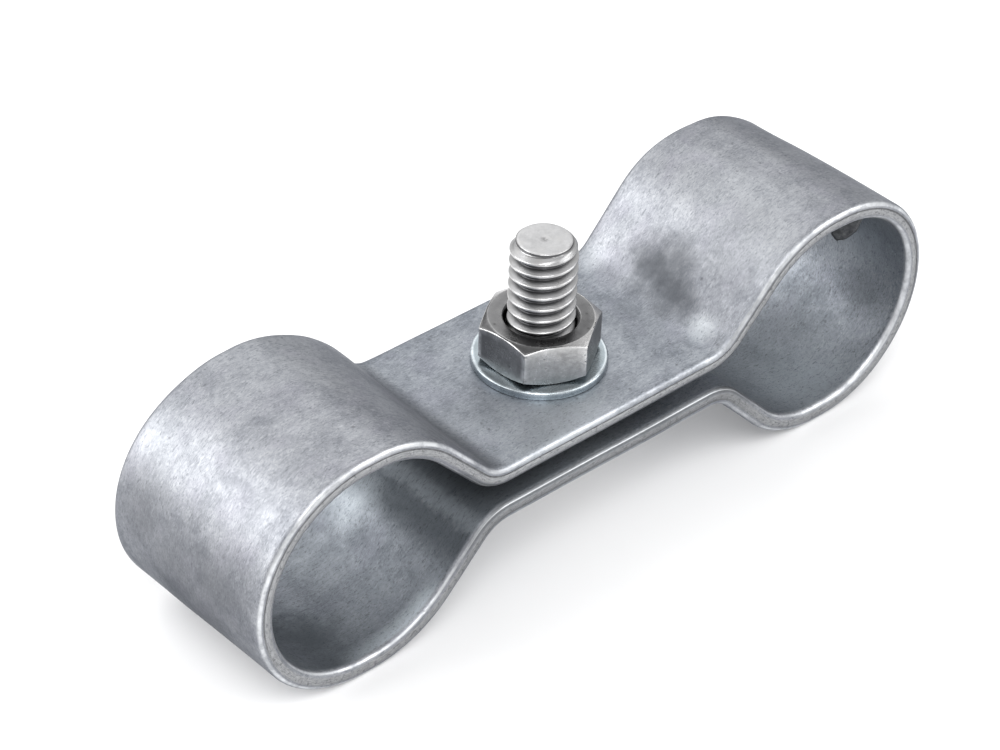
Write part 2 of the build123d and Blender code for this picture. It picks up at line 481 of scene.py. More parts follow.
def galvanised_material(settings):
    """Satin zinc coat: clouds, brushed grain, strokes, small pits, spots of painted shade and painted
    highlight, painted shade in the crease, the corners and the inside, and a greyer cut edge.
    """
    material, w, where = start_metal("galvanised_zinc")
    strip = w.put("UVMap", uv_map="strip").outputs["UV"]
    side, depth, up = w.put("SeparateXYZ", where).outputs
    across = w.mark("across")
    clouds = clouds_of(w, where, settings.color, settings.dark_color, ZINC_TINT, 95.0, 1.7)
    grain = w.place(brushed_grain(), Vector=strip, Fineness=3000.0, Stretch=3.5)["Value"]
    strokes = w.place(zinc_strokes(), Vector=strip, Fineness=4100.0, Curl=1.4)
    pits = w.place(small_pits(), Vector=where, Density=420.0, Radius=0.13, Share=0.3)["Value"]
    # spots of painted shade and painted dark reflection, also made rougher
    dull = spot_mask(w, where, PAINTED_SHADE_SPOTS)
    # spots of painted highlight
    rubbed = spot_mask(w, where, PAINTED_HIGHLIGHT_SPOTS, 400.0)

    cut, crease, skin, low_rim_shade, worn = rim_masks(w, where, side, up, across)
    striation_space = w.put("Mapping", Vector=strip, Scale=(1.0, 7.0, 1.0)).outputs["Vector"]
    striation = w.noise(striation_space, 800.0, 4.0, 0.65)
    speckle = w.noise(where, 1500.0, 3.0, 0.7)
    cut_color = w.layers(
        CUT_DARK,
        (w.remap(striation, 0.32, 0.68), CUT_LIGHT),
        (w.remap(speckle, 0.54, 0.64, 0.0, 0.7), CUT_SPECK),
    )

    inner_side = w.remap(across, 0.97, 0.999)
    inner_painted_shade, inner_painted_highlight = inner_masks(w, where, side, depth, up)
    # painted shade on the strip's inner side, which is also made rougher
    inside = w.times(inner_side, inner_painted_shade)
    on_web = w.remap(w.calc("ABSOLUTE", side), 0.019, 0.025, 0.85, 0.0, smooth=True)
    stroke_color = w.over(STROKE_DARK, inner_side, STROKE_INNER)

    color = w.layers(
        clouds["Color"],
        (w.remap(grain, 0.0, 1.0, 0.14, 0.0), ZINC_GRAIN),
        (w.times(strokes["Bright"], 0.26), STROKE_BRIGHT),
        # painted shade and painted dark reflections in spots
        (dull, PAINTED_SHADE),
        # painted highlights in spots
        (rubbed, PAINTED_HIGHLIGHT),
        # painted shade inside the loops and between the webs
        (inside, INNER_PAINTED_SHADE),
        # painted highlights inside the loops
        (w.times(inner_side, inner_painted_highlight), INNER_PAINTED_HIGHLIGHT),
    )
    color = w.over(color, w.most(inner_side, on_web), COOL_TINT, mode="MULTIPLY")
    color = w.layers(
        color,
        (w.times(strokes["Dark"], w.remap(inner_side, 0.0, 1.0, 0.62, 0.55)), stroke_color),
        (w.times(pits, 0.6), ZINC_PIT),
        (w.times(cut, 0.85), cut_color),
        # painted shade in the crease
        (w.times(crease, w.remap(striation, 0.4, 0.6, 0.4, 0.95)), CREASE_PAINTED_SHADE),
        # painted shade on the webs' inner corners by the gap
        (skin, GAP_CORNER_SHADE),
        # painted shade on the lower web's rim
        (low_rim_shade, LOW_RIM_PAINTED_SHADE),
        (worn, ZINC_WORN),
    )
    rough = w.plus(
        w.remap(clouds["Value"], 0.0, 1.0, 0.50, 0.43),
        w.remap(grain, 0.0, 1.0, 0.04, -0.04),
        w.times(inside, 0.3),
        w.times(worn, -0.18),
        w.times(dull, 0.12),
    )
    relief = w.plus(
        w.times(grain, 0.014),
        w.times(w.noise(where, 2600.0, 2.0, 0.6), 0.010),
        w.times(strokes["Height"], 0.019),
        w.times(w.noise(where, 240.0), 0.03),
        w.times(pits, -0.04),
        w.times(striation, cut, 0.06),
    )
    shader = finish_metal(material, color, rough, relief)
    w.fill(shader.inputs["Specular Tint"], ZINC_EDGE_TINT)
    return material


# ---------------------------------------------------------------- the small parts' metals


def bolt_material(settings):
    """Bright zinc-plated steel, with painted shade in the thread's valleys."""
    material, w, where = start_metal("bright_bolt_steel")
    clouds = clouds_of(w, where, settings.color, (0.36, 0.36, 0.365), (0.45, 0.445, 0.44), 260.0, 1.0)
    round_space = w.put("Mapping", Vector=where, Scale=(1.0, 1.0, 6.0)).outputs["Vector"]
    grain = w.place(brushed_grain(), Vector=round_space, Fineness=2600.0, Stretch=1.0)["Value"]
    color = w.layers(
        clouds["Color"],
        (w.remap(grain, 0.0, 1.0, 0.12, 0.0), (0.25, 0.25, 0.25)),
        # painted shade in the thread's valleys and at the end
        (w.times(w.mark("valley"), 0.92), (0.06, 0.06, 0.064)),
        (wear_of(w, where, 700.0), (0.88, 0.88, 0.88)),
    )
    rough = w.plus(w.remap(clouds["Value"], 0.0, 1.0, 0.36, 0.26), w.remap(grain, 0.0, 1.0, 0.03, -0.03))
    finish_metal(material, color, rough, w.times(grain, 0.010))
    return material


def washer_material(settings):
    """Bluish bright zinc plating on a punched washer, with painted shade at its left end by the nut."""
    material, w, where = start_metal("bluish_washer_zinc")
    clouds = clouds_of(w, where, settings.color, (0.27, 0.31, 0.33), (0.36, 0.41, 0.46), 240.0, 1.2)
    grain = w.place(brushed_grain(), Vector=where, Fineness=3200.0, Stretch=1.5)["Value"]
    side = w.put("SeparateXYZ", where).outputs["X"]
    color = w.layers(
        clouds["Color"],
        (w.remap(grain, 0.0, 1.0, 0.12, 0.0), (0.2, 0.22, 0.24)),
        (wear_of(w, where, 500.0), (0.80, 0.86, 0.90)),
        # painted shade at the left end, where the nut shades it
        (w.remap(side, -0.0098, -0.0076, 0.45, 0.0), (0.12, 0.14, 0.15)),
    )
    rough = w.remap(clouds["Value"], 0.0, 1.0, 0.34, 0.22)
    finish_metal(material, color, rough, w.times(grain, 0.010))
    return material


def nut_material(settings):
    """Dark plain steel, mottled and pitted on the flats and bright where it was turned, brightest to the right
    as a painted highlight, with painted shade on the side flats, the chamfer's left and the bore.
    """
    material, w, where = start_metal("dark_nut_steel")
    clouds = clouds_of(w, where, settings.color, (0.34, 0.34, 0.345), (0.50, 0.495, 0.49), 330.0, 1.5)
    turned, face = w.mark("turned"), w.mark("face")
    grain = w.place(brushed_grain(), Vector=where, Fineness=3000.0, Stretch=1.6)["Value"]
    pits = w.place(small_pits(), Vector=where, Density=760.0, Radius=0.19, Share=0.45)["Value"]
    side, depth, _ = w.put("SeparateXYZ", where).outputs
    facing = w.put("SeparateXYZ", w.put("TexCoord").outputs["Normal"]).outputs["X"]

    # painted shade on the flats that face left and right of the front one, and on the left of the turned
    # chamfer
    side_shade = w.most(
        w.times(w.remap(facing, -0.9, -0.3, 0.85, 0.0), w.remap(depth, -0.005, 0.002, 0.70, 1.0)),
        w.remap(facing, 0.2, 0.5, 0.0, 0.66),
        w.times(turned, w.remap(side, -0.005, 0.003, 0.88, 0.0)),
    )
    face_color = w.over((0.062, 0.062, 0.064), w.remap(depth, -0.007, 0.004), (0.13, 0.13, 0.132))
    level = w.put("VectorMath", where, (1, 1, 0), operation="MULTIPLY").outputs[0]
    from_axis = w.put("VectorMath", level, operation="LENGTH").outputs["Value"]
    color = w.layers(
        clouds["Color"],
        (w.remap(grain, 0.0, 1.0, 0.25, 0.0), (0.10, 0.10, 0.10)),
        # painted shade on the side flats
        (side_shade, (0.06, 0.06, 0.062)),
        (w.times(face, 0.92), face_color),
        # turned metal is bright, kept to the right as a painted highlight
        (w.times(turned, w.remap(side, -0.004, 0.003, 0.0, 0.85)), (0.56, 0.555, 0.555)),
        (w.times(pits, 0.8), (0.05, 0.05, 0.05)),
        (wear_of(w, where, 650.0), (0.80, 0.80, 0.80)),
        # painted shade down the bore and countersink
        (w.remap(from_axis, 0.00530, 0.00585, 0.93, 0.0, smooth=True), (0.025, 0.025, 0.027)),
    )
    rough = w.plus(w.remap(clouds["Value"], 0.0, 1.0, 0.36, 0.25), w.times(turned, -0.06))
    finish_metal(material, color, rough, w.plus(w.times(grain, 0.014), w.times(pits, -0.05)))
    return material


def dross_material():
    """The dull dark skin of a frozen run of zinc."""
    material, w, where = start_metal("dull_zinc_run")
    light, dark, tint = (0.10, 0.105, 0.11), (0.025, 0.027, 0.03), (0.055, 0.055, 0.065)
    clouds = clouds_of(w, where, light, dark, tint, 600.0, 1.3)
    rough = w.remap(clouds["Value"], 0.0, 1.0, 0.55, 0.38)
    finish_metal(material, clouds["Color"], rough, w.times(clouds["Value"], 0.03))
    return material


# ---------------------------------------------------------------- mesh helpers


def finish_piece(name, mesh, material, node):
    """Puts a finished mesh in the scene, in place of a CAD node where one is named."""
    piece = bpy.data.objects.new(name, mesh)
    bpy.context.scene.collection.objects.link(piece)
    mesh.materials.clear()
    mesh.materials.append(material)
    for polygon in mesh.polygons:
        polygon.use_smooth = True
    if node:
        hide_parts(node)
    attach(piece, BODY)


def ring_mesh(name, rings, closed, attributes):
    """A mesh from rings of points with the same count. closed joins the last ring to the first,
    and otherwise each end is a fan to one point. attributes maps a name to values like rings."""
    count = len(rings[0])
    mesh = bpy.data.meshes.new(name)
    vertices = [point for ring in rings for point in ring]
    faces = []
    spans = len(rings) if closed else len(rings) - 1
    for i in range(spans):
        a, b = i * count, ((i + 1) % len(rings)) * count
        for j in range(count):
            k = (j + 1) % count
            faces.append((a + j, a + k, b + k, b + j))
    if not closed:
        for ring, base in ((rings[0], 0), (rings[-1], (len(rings) - 1) * count)):
            tip = len(vertices)
            vertices.append(sum((Vector(point) for point in ring), Vector()) / count)
            for j in range(count):
                k = (j + 1) % count
                faces.append((tip, base + k, base + j) if base == 0 else (tip, base + j, base + k))
    mesh.from_pydata([tuple(vertex) for vertex in vertices], [], faces)
    for label, values in attributes.items():
        layer = mesh.attributes.new(label, "FLOAT", "POINT")
        flat = [value for ring in values for value in ring]
        flat += [flat[0], flat[-1]][: len(vertices) - len(flat)]
        layer.data.foreach_set("value", flat)
    mesh.update()
    return mesh


def cut_hole(mesh, cutter):
    """The mesh with the cutter's volume taken out."""
    body = bpy.data.objects.new("cut_body", mesh)
    tool = bpy.data.objects.new("cut_tool", cutter)
    for part in (body, tool):
        bpy.context.scene.collection.objects.link(part)
    boolean = body.modifiers.new("hole", "BOOLEAN")
    boolean.operation = "DIFFERENCE"
    boolean.solver = "EXACT"
    boolean.object = tool
    graph = bpy.context.evaluated_depsgraph_get()
    evaluated = body.evaluated_get(graph)
    result = bpy.data.meshes.new_from_object(evaluated, preserve_all_data_layers=True, depsgraph=graph)
    for part in (body, tool):
        bpy.data.objects.remove(part)
    return result


def smooth_step(low, high, value):
    """0 at low and 1 at high, with a soft run between them, upwards or downwards."""
    share = min(1.0, max(0.0, (value - low) / (high - low)))
    return share * share * (3 - 2 * share)


def circle_points(count):
    """The cosine and sine of evenly spaced angles."""
    return [(cos(2 * pi * i / count), sin(2 * pi * i / count)) for i in range(count)]


# ---------------------------------------------------------------- band

# Sizes in mm. Corner roundings: distance from the middle, depth, reach across and reach in depth
OUTER_CORNER = (14.95, 0.95, 0.97, 0.95)
INNER_CORNER = (14.75, 2.05, 1.2, 0.95)
CORNER_ANGLES = [radians(90) * i / 8 for i in range(9)]
CREASE = ((15.88, 1.02), (15.84, 1.10), (15.87, 1.18), (15.93, 1.26))
CREASE_FADE = (3.0, -10.0)
CUT_FACE = ((15.975, 1.36), (16.0, 1.5), (16.0, 1.65), (15.985, 1.8), (15.96, 1.95))
HALF_WIDTH, WALL = 16.0, 3.0
FLAT_STEPS = 15
ARC_STEP, BEND_STEP = 3, 5
ROUND_HOLE_RADIUS, SQUARE_HOLE_HALF, HOLE_SPARE = 5.5, 5.4, 2

# Pressing leaves the bends softer in the middle of the strip: place along it, width and height
BEND_SWELLS = ((24.6, 4.6, 0.85), (-24.6, 4.6, 0.25), (31.5, 4.0, -0.22))
# The two loops are not quite as round at the back as in front
BACK_SWELLS = ((-27.5, 5.0, 1.1), (-54.0, 7.0, -0.4), (34.0, 7.0, 0.6), (56.0, 6.0, -0.6))
BACK_REACH = 10.0

RUN_ANGLE = radians(75)
RUN_DEPTH = -13.4
RUN_REACH = Vector((2.9, 1.35, 3.7))
RUN_FACETS = [
    Vector(facet).normalized()
    for facet in (
        (-1, -0.6, -0.9),
        (0.9, -0.8, -0.7),
        (0.2, -0.9, -1.6),
        (0, 1, -0.3),
        (-0.8, 0.5, 0.9),
        (0.9, 0.4, 0.9),
    )
]


def strip_section():
    """One half of the strip's section: (distance from the middle, depth under the outer face)."""
    half = [(y, 0.0) for y in range(FLAT_STEPS)]
    y, t, reach_y, reach_t = OUTER_CORNER
    half += [(y + reach_y * sin(a), t - reach_t * cos(a)) for a in CORNER_ANGLES]
    half += CREASE + CUT_FACE
    y, t, reach_y, reach_t = INNER_CORNER
    half += [(y + reach_y * cos(a), t + reach_t * sin(a)) for a in CORNER_ANGLES]
    half += [(y, WALL) for y in reversed(range(FLAT_STEPS))]
    return half


def arc_stations(cx, cz, radius, start, end, step, side=1):
    """Points and outward normals along an arc, by angle in degrees from +X towards +Z."""
    count = max(1, ceil(abs(end - start) / step))
    for i in range(count):
        a = radians(start + (end - start) * i / count)
        yield cx + radius * cos(a), cz + radius * sin(a), side * cos(a), side * sin(a)


def line_stations(x0, z0, x1, z1):
    """Points and outward normals along a straight, about 1 mm apart."""
    length = hypot(x1 - x0, z1 - z0)
    nx, nz = -(z1 - z0) / length, (x1 - x0) / length
    count = max(1, ceil(length))
    for i in range(count):
        f = i / count
        yield x0 + (x1 - x0) * f, z0 + (z1 - z0) * f, nx, nz


def quarter_outline(band):
    """The outer outline from the left end over the loop to the middle, about the pipes' height."""
    radius = (band.pipe_radius + band.wall) / MM
    offset, flat = band.loop_offset / MM, band.loop_flat / MM
    flank, bend = band.flank_angle, band.bend_radius / MM
    web = (band.web_gap / 2 + band.wall) / MM
    flank_degrees = degrees(flank)
    shoulder_x = -offset + flat + radius * sin(flank)
    shoulder_z = radius * cos(flank)
    bend_z = web + bend * (1 - cos(flank))
    bend_x = shoulder_x + (shoulder_z - bend_z) / tan(flank)
    web_x = bend_x + bend * sin(flank)
    return [
        *arc_stations(-offset, 0, radius, 180, 90, ARC_STEP),
        *line_stations(-offset, radius, -offset + flat, radius),
        *arc_stations(-offset + flat, 0, radius, 90, 90 - flank_degrees, ARC_STEP),
        *line_stations(shoulder_x, shoulder_z, bend_x, bend_z),
        *arc_stations(web_x, web + bend, bend, 270 - flank_degrees, 270, BEND_STEP, side=-1),
        *line_stations(web_x, web, 0, web),
    ]


def full_outline(band):
    """The whole closed outline as (x, z, normal x, normal z)."""
    quarter = quarter_outline(band)
    web = (band.web_gap / 2 + band.wall) / MM
    upper = [*quarter, (0.0, web, 0.0, 1.0), *((-x, z, -nx, nz) for x, z, nx, nz in reversed(quarter))]
    return upper + [(x, -z, nx, -nz) for x, z, nx, nz in reversed(upper[1:-1])]


def band_unevenness(x, y, z):
    """How far the strip stands out from its true form at one place, as pressing left it."""
    place = Vector((x, y, z))
    wave = noise.noise(place * 0.055 + Vector((3.1, 7.7, 1.3))) * 0.14
    wave += noise.noise(place * 0.14 + Vector((9.2, 0.4, 5.5))) * 0.04
    for middle, width, height in BEND_SWELLS:
        near = exp(-(((x - middle) / width) ** 2)) * (1.0 if z > 0 else 0.25)
        wave += height * near * (1 - (y / HALF_WIDTH) ** 2)
    for middle, width, height in BACK_SWELLS:
        near = exp(-(((x - middle) / width) ** 2) - ((y - HALF_WIDTH) / BACK_REACH) ** 2)
        wave += height * near * smooth_step(-4.0, 6.0, z)
    return wave


def running_lengths(points):
    """The length along a closed line up to each point, and all the way round."""
    total, lengths = 0.0, []
    for i, (a, b) in enumerate(points):
        if i:
            total += hypot(a - points[i - 1][0], b - points[i - 1][1])
        lengths.append(total)
    return lengths, total + hypot(points[0][0] - points[-1][0], points[0][1] - points[-1][1])


def band_mesh(band):
    outline = full_outline(band)
    section = strip_section()
    ring = section + [(-y, t) for y, t in section[1:-1][::-1]]
    mid = BAND_HIGH.z / 2 / MM
    rings, across = [], []
    for x, z, nx, nz in outline:
        points = []
        for y, t in ring:
            lift = band_unevenness(x, y, z)
            if CREASE[0][1] <= t <= CREASE[-1][1]:
                # the crease runs out on the lower half
                missing = CUT_FACE[0][0] - 0.01 - abs(y)
                y += (1 if y > 0 else -1) * missing * smooth_step(*CREASE_FADE, z)
            px, pz = (x + nx * (lift - t)) * MM, (z + mid + nz * (lift - t)) * MM
            px = min(max(px, BAND_LOW.x), BAND_HIGH.x)
            points.append((px, y * MM, min(max(pz, BAND_LOW.z), BAND_HIGH.z)))
        rings.append(points)
        across.append([t * MM / band.wall for _, t in ring])
    mesh = ring_mesh("band_skin", rings, True, {"across": across})

    # the strip's own coordinates: along it and round its section, in metres
    runs, whole_run = running_lengths([(x, z) for x, z, _, _ in outline])
    arounds, whole_around = running_lengths(ring)
    layer = mesh.uv_layers.new(name="strip")
    count = len(ring)
    for polygon in mesh.polygons:
        corners = [mesh.loops[k].vertex_index for k in polygon.loop_indices]
        last_ring = max(corners) // count - min(corners) // count > 1
        last_column = max(c % count for c in corners) - min(c % count for c in corners) > 1
        for k, corner in zip(polygon.loop_indices, corners):
            u, v = runs[corner // count], arounds[corner % count]
            if last_ring and corner // count == 0:
                u += whole_run
            if last_column and corner % count == 0:
                v += whole_around
            layer.data[k].uv = (u * MM, v * MM)
    return mesh


def cutter(plan, low, high):
    """A prism over a plan of (x, y) points."""
    return ring_mesh("cutter", [[(x, y, z) for x, y in plan] for z in (low, high)], False, {})


class CLAMP_OT_band(bpy.types.Operator):
    """Builds the dumbbell-shaped band from one closed strip"""

    bl_idname = "clamp.band"
    bl_label = "Clamp Band"

    def execute(self, context):
        band = context.scene.fence_clamp.band
        mid = BAND_HIGH.z / 2
        reach = band.web_gap / 2 + band.wall + HOLE_SPARE * MM
        radius, half = ROUND_HOLE_RADIUS * MM, SQUARE_HOLE_HALF * MM
        round_plan = [(radius * c, radius * s) for c, s in circle_points(64)]
        square_plan = ((half, half), (-half, half), (-half, -half), (half, -half))
        mesh = cut_hole(band_mesh(band), cutter(round_plan, mid, mid + reach))
        mesh = cut_hole(mesh, cutter(square_plan, mid - reach, mid))
        finish_piece("band_skin", mesh, galvanised_material(band), "clamp_band")
        return {"FINISHED"}


class CLAMP_OT_zinc_run(bpy.types.Operator):
    """Builds the small frozen run of zinc under the top of the right loop"""

    bl_idname = "clamp.zinc_run"
    bl_label = "Zinc Run"

    def execute(self, context):
        band = context.scene.fence_clamp.band
        mid = BAND_HIGH.z / 2
        reach = band.pipe_radius - 0.4 * MM
        middle_x, middle_z = band.loop_offset + reach * cos(RUN_ANGLE), mid + reach * sin(RUN_ANGLE)
        middle = Vector((middle_x, RUN_DEPTH * MM, middle_z))
        under = band.pipe_radius + 1.2 * MM
        shape = bmesh.new()
        bmesh.ops.create_icosphere(shape, subdivisions=4, radius=1.0)
        for vertex in shape.verts:
            d = vertex.co.normalized()
            facing = max(max(d.dot(facet) for facet in RUN_FACETS), 0.62)
            bulge = 0.86 / facing + 0.10 * noise.noise(d * 2.3 + Vector((4.0, 1.0, 7.0)))
            point = d * RUN_REACH * (bulge * MM) + middle
            out = hypot(point.x - band.loop_offset, point.z - mid)
            if out > under:  # the top of the run is sunk in the strip
                point.x = band.loop_offset + (point.x - band.loop_offset) * under / out
                point.z = mid + (point.z - mid) * under / out
            vertex.co = point
        mesh = bpy.data.meshes.new("zinc_run")
        shape.to_mesh(mesh)
        shape.free()
        finish_piece("zinc_run", mesh, dross_material(), None)
        return {"FINISHED"}


# ---------------------------------------------------------------- bolt

# Sizes in mm
BOLT_COLUMNS = 144
THREAD_START = 0.107  # share of a turn
CREST_END, ROOT_START, FLANK_EASE = 0.13, 0.78, 0.09  # shares of half a pitch, and of the flank
THREAD_LOW, THREAD_TOP = 19.5, 1.2  # marked as thread above the one and below the end by the other
ROW_STEP = 0.075
WEB_BOTTOM = 14.25
HEAD_RADIUS, DOME_ROWS = 12.3, 22
NECK_HALF, NECK_CORNER = 5.2, 0.8
NECK_ROWS = ((0.0, 0.0), (1.5, 0.0), (3.0, 0.0), (4.6, 0.0), (5.0, 0.25))  # height, shrink
CONE_LOW, CONE_TOP, CONE_RADIUS, CONE_BLEND = 1.30, 0.42, 4.36, 0.12
# Radius, height from the web's underside, and edge mark
HEAD_RIM = (
    (12.22, -1.02, 1.0),
    (12.3, -0.9, 1.0),
    (12.3, -0.5, 0.2),
    (12.3, -0.12, 1.0),
    (12.22, -0.02, 1.0),
    (12.1, 0.0, 0.5),
    (11.0, 0.0, 0.0),
    (9.0, 0.0, 0.0),
    (7.6, 0.0, 0.0),
)
# Radius, height from the bolt's end, and edge mark, which below 0 is painted shade
BOLT_END = (
    (4.14, -0.38, -0.6),
    (4.04, -0.34, -1.0),
    (4.02, -0.16, -0.9),
    (4.00, -0.08, 0.5),
    (3.95, -0.03, 0.6),
    (3.87, 0.0, 0.3),
    (3.6, 0.0, 0.0),
    (3.0, 0.0, 0.0),
    (2.0, 0.0, 0.0),
    (1.0, 0.0, 0.0),
    (0.32, 0.0, 0.0),
    (0.2, -0.06, 0.0),
    (0.08, -0.12, 0.0),
)


def thread_radius(angle, z, bolt):
    """Radius of a right-hand thread: narrow crests, straight flanks and rounded valleys."""
    turns = z / (bolt.pitch / MM) - angle / (2 * pi) + THREAD_START
    off_crest = abs((turns % 1.0) - 0.5) * 2
    share = min(1.0, max(0.0, (off_crest - CREST_END) / (ROOT_START - CREST_END)))
    # the flank is straight, and its two ends run out in short curves
    if share < FLANK_EASE:
        share = share**2 / (2 * FLANK_EASE) + share * 0.5
    elif share > 1 - FLANK_EASE:
        share = 1 - ((1 - share) ** 2 / (2 * FLANK_EASE) + (1 - share) * 0.5)
    return bolt.radius / MM - bolt.depth / MM * share


def square_radius(angle, half, corner):
    """Radius of a rounded square at an angle."""
    a = abs((angle % (pi / 2)) - pi / 4)
    flat = half / cos(pi / 4 - a)
    reach = (half - corner) * sqrt(2)
    # on the diagonal the rounding takes over from the flat
    rounded = reach * cos(a) + sqrt(max(0.0, corner**2 - (reach * sin(a)) ** 2))
    return min(flat, rounded)


def bolt_rows(bolt):
    """Rows of the bolt from its head's bottom to its end: height, radius by angle, and mark.
    A mark above 0 is a worn edge, and one below 0 painted shade, as in the thread's valleys."""
    low, top = BOLT_LOW.z / MM, BOLT_HIGH.z / MM
    rows = []
    dome_height = WEB_BOTTOM - 1.0 - low
    sphere = (HEAD_RADIUS**2 + dome_height**2) / (2 * dome_height)
    for i in range(1, DOME_ROWS):
        r = HEAD_RADIUS * i / DOME_ROWS
        rows.append((low + sphere - sqrt(sphere**2 - r**2), lambda a, r=r: r, 0.0))
    rows += [(WEB_BOTTOM + z, lambda a, r=r: r, mark) for r, z, mark in HEAD_RIM]
    for z, shrink in NECK_ROWS:
        half = NECK_HALF - shrink
        rows.append((WEB_BOTTOM + z, lambda a, half=half: square_radius(a, half, NECK_CORNER), 0.0))
    crest = bolt.radius / MM
    z = WEB_BOTTOM + NECK_ROWS[-1][0] + 0.05
    while z < top - CONE_TOP:
        narrowed = max(0.0, z - (top - CONE_LOW)) / (CONE_LOW - CONE_TOP)
        cone = crest - narrowed * (crest - CONE_RADIUS)

        def radius(a, z=z, cone=cone):
            r = thread_radius(a, z, bolt)
            gap = max(CONE_BLEND - abs(r - cone), 0.0) / CONE_BLEND
            return min(r, cone) - gap * gap * CONE_BLEND * 0.25

        rows.append((z, radius, 0.0))
        z += ROW_STEP
    return rows + [(top + z, lambda a, r=r: r, mark) for r, z, mark in BOLT_END]


class CLAMP_OT_bolt(bpy.types.Operator):
    """Builds the cup head bolt with its square neck and rolled thread"""

    bl_idname = "clamp.bolt"
    bl_label = "Threaded Bolt"

    def execute(self, context):
        bolt = context.scene.fence_clamp.bolt
        root = (bolt.radius - bolt.depth) / MM
        rings, edges, valleys = [], [], []
        for z, radius, mark in bolt_rows(bolt):
            radii = [radius(2 * pi * i / BOLT_COLUMNS) for i in range(BOLT_COLUMNS)]
            turns = zip(radii, circle_points(BOLT_COLUMNS))
            rings.append([(r * c * MM, r * s * MM, z * MM) for r, (c, s) in turns])
            if THREAD_LOW < z < BOLT_HIGH.z / MM - THREAD_TOP:
                edges.append([max(mark, smooth_step(4.84, 4.98, r) * 0.6) for r in radii])
                # painted shade, deepest at the thread's roots
                valleys.append([1 - smooth_step(root, root + 0.85, r) for r in radii])
            else:
                edges.append([max(mark, 0.0)] * BOLT_COLUMNS)
                valleys.append([max(-mark, 0.0)] * BOLT_COLUMNS)
        mesh = ring_mesh("threaded_bolt", rings, False, {"edge": edges, "valley": valleys})
        finish_piece("threaded_bolt", mesh, bolt_material(bolt), "cup_head_bolt")
        return {"FINISHED"}


# ---------------------------------------------------------------- washer

# Roundings in mm: the rim below and above, and the hole above and below
RIM_LOW, RIM_HIGH, HOLE_HIGH, HOLE_LOW = 0.12, 0.32, 0.2, 0.1
WASHER_COLUMNS = 180


def rounded_corner(r, z, radius, start, steps=5):
    """Points of a quarter round about (r, z), turning from start degrees by a right angle."""
    angles = (radians(start + 90 * i / steps) for i in range(steps + 1))
    return [(r + radius * cos(a), z + radius * sin(a)) for a in angles]


class CLAMP_OT_washer(bpy.types.Operator):
    """Builds the punched flat washer"""

    bl_idname = "clamp.washer"
    bl_label = "Flat Washer"

    def execute(self, context):
        washer = context.scene.fence_clamp.washer
        low, high = WASHER_LOW.z / MM, WASHER_HIGH.z / MM
        outer, inner = WASHER_HIGH.x / MM, washer.hole_radius / MM
        top_flat = (outer - 0.6, outer - 1.5, outer - 3.0, inner + 0.4)
        profile, edges = [], []
        for points, mark in (
            (rounded_corner(outer - RIM_LOW, low + RIM_LOW, RIM_LOW, -90), 0.3),
            ([(outer, low + 0.45), (outer, high - 0.55)], 0.15),
            (rounded_corner(outer - RIM_HIGH, high - RIM_HIGH, RIM_HIGH, 0, 8), 1.0),
            ([(r, high) for r in top_flat], 0.0),
            (rounded_corner(inner + HOLE_HIGH, high - HOLE_HIGH, HOLE_HIGH, 90), 0.5),
            ([(inner, low + 0.5)], 0.0),
            (rounded_corner(inner + HOLE_LOW, low + HOLE_LOW, HOLE_LOW, 180), 0.0),
            ([(outer - 3.0, low)], 0.0),
        ):
            profile += points
            edges += [mark] * len(points)
        turns = circle_points(WASHER_COLUMNS)
        rings = [[(r * c * MM, r * s * MM, z * MM) for r, z in profile] for c, s in turns]
        mesh = ring_mesh("flat_washer_plated", rings, True, {"edge": [edges] * WASHER_COLUMNS})
        finish_piece("flat_washer_plated", mesh, washer_material(washer), "flat_washer")
        return {"FINISHED"}


# ---------------------------------------------------------------- nut

# Sizes in mm
NUT_CORNER = 0.28
FACE_RADIUS, SINK_RADIUS, BORE_RADIUS = 7.75, 5.7, 5.05
TURNED_SLOPE = tan(radians(30))
BORE_INSET = 1.4
SOFTENING = 0.16


def hex_plan(flats, corner, turn, runs=14, arc=6):
    """Outline points of a hexagon with rounded corners, each with 1 on a corner's rounding."""
    centre = (flats / 2 - corner) / cos(radians(30))
    arcs = []
    for k in range(6):
        mid = turn + radians(60 * k)
        angles = (mid + radians(-30 + 60 * i / arc) for i in range(arc + 1))
        cx, cy = centre * cos(mid), centre * sin(mid)
        arcs.append([(cx + corner * cos(a), cy + corner * sin(a), 1.0) for a in angles])
    outline = []
    for points, following in zip(arcs, arcs[1:] + arcs[:1]):
        outline += points
        (x0, y0, _), (x1, y1, _) = points[-1], following[0]
        outline += [(x0 + (x1 - x0) * i / runs, y0 + (y1 - y0) * i / runs, 0.0) for i in range(1, runs)]
    return outline


def soft_corner(before, corner, after, mark_before, mark_after, bright=1.0):
    """A short arc in place of a corner, as (radius, height, edge, turned)."""
    corner = Vector(corner)
    back, ahead = Vector(before) - corner, Vector(after) - corner
    p = corner + back.normalized() * min(SOFTENING, back.length * 0.4)
    q = corner + ahead.normalized() * min(SOFTENING, ahead.length * 0.4)
    points = []
    for i in range(5):
        t = i / 4
        r, z = p * (1 - t) ** 2 + corner * (2 * t * (1 - t)) + q * t**2
        edge = bright if i in (1, 2, 3) else 0.3 * bright
        points.append((r, z, edge, mark_before if i < 2 else mark_after))
    return points


